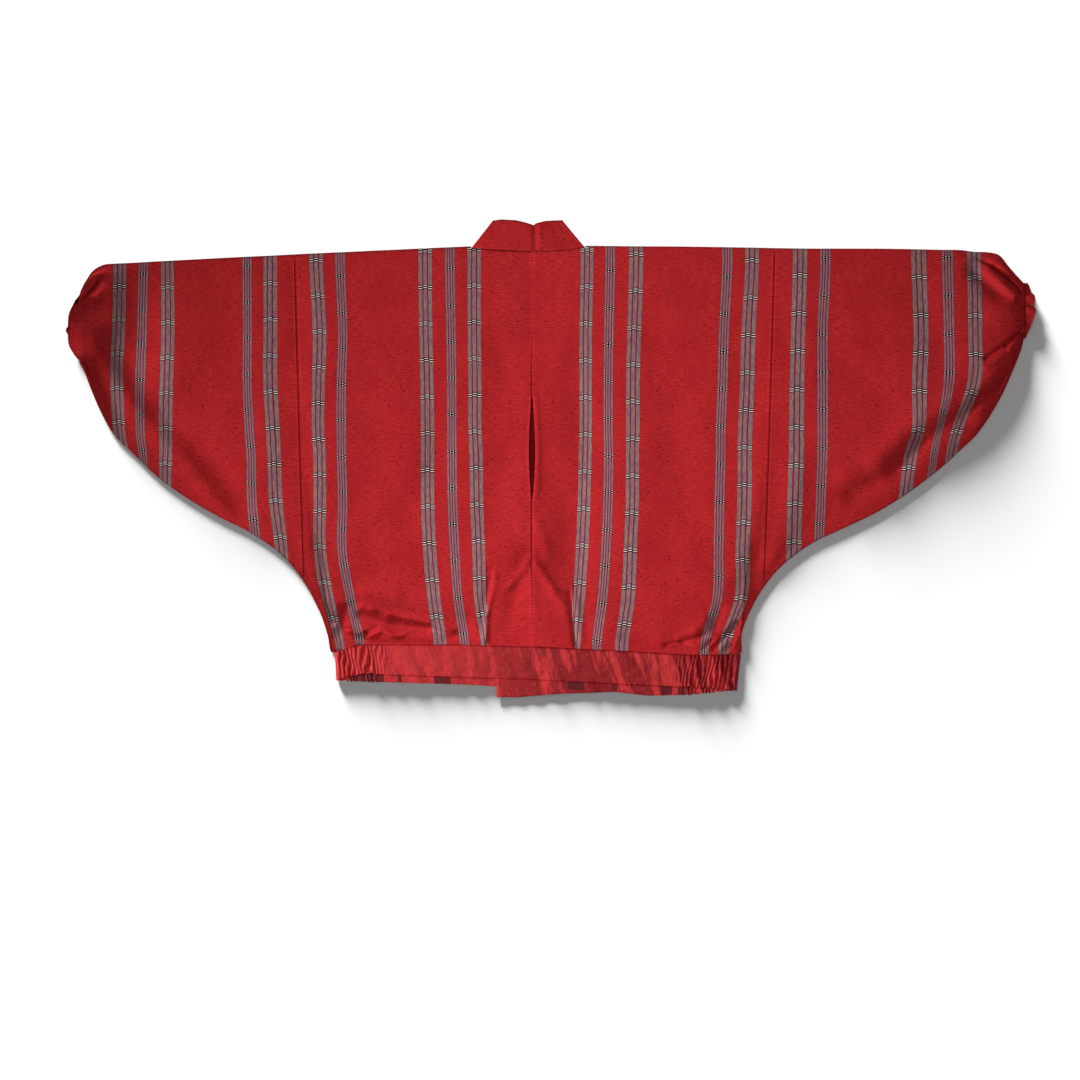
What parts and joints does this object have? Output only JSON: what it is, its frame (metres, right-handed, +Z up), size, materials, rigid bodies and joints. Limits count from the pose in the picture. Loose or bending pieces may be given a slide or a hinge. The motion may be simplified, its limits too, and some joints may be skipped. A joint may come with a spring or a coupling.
{
  "type": "short haori jacket",
  "caption": "Short Japanese jacket with batwing sleeves, standing collar band, centre back pleat and gathered silk hem band, laid flat with its back up.",
  "frame": {"origin": "centre of the bounding box in plan, on the surface that the jacket lies on", "axes": "+X across the jacket, to the right as its back is seen; +Y from the hem to the collar; +Z up from the surface, through the back"},
  "size_m": [1.4052, 0.6918, 0.0308],
  "materials": {
    "tsumugi": "matt slubbed silk tsumugi, red with grey kasuri stripes",
    "silk": "plain silk with a soft sheen"
  },
  "bodies": {
    "root": {"body_left": "tsumugi", "body_right": "tsumugi", "sleeve_left": "tsumugi", "sleeve_right": "tsumugi", "cuff_left": "tsumugi", "cuff_right": "tsumugi", "pleat_underlay": "tsumugi", "collar": "tsumugi", "hem_band": "silk"}
  },
  "joints": []
}
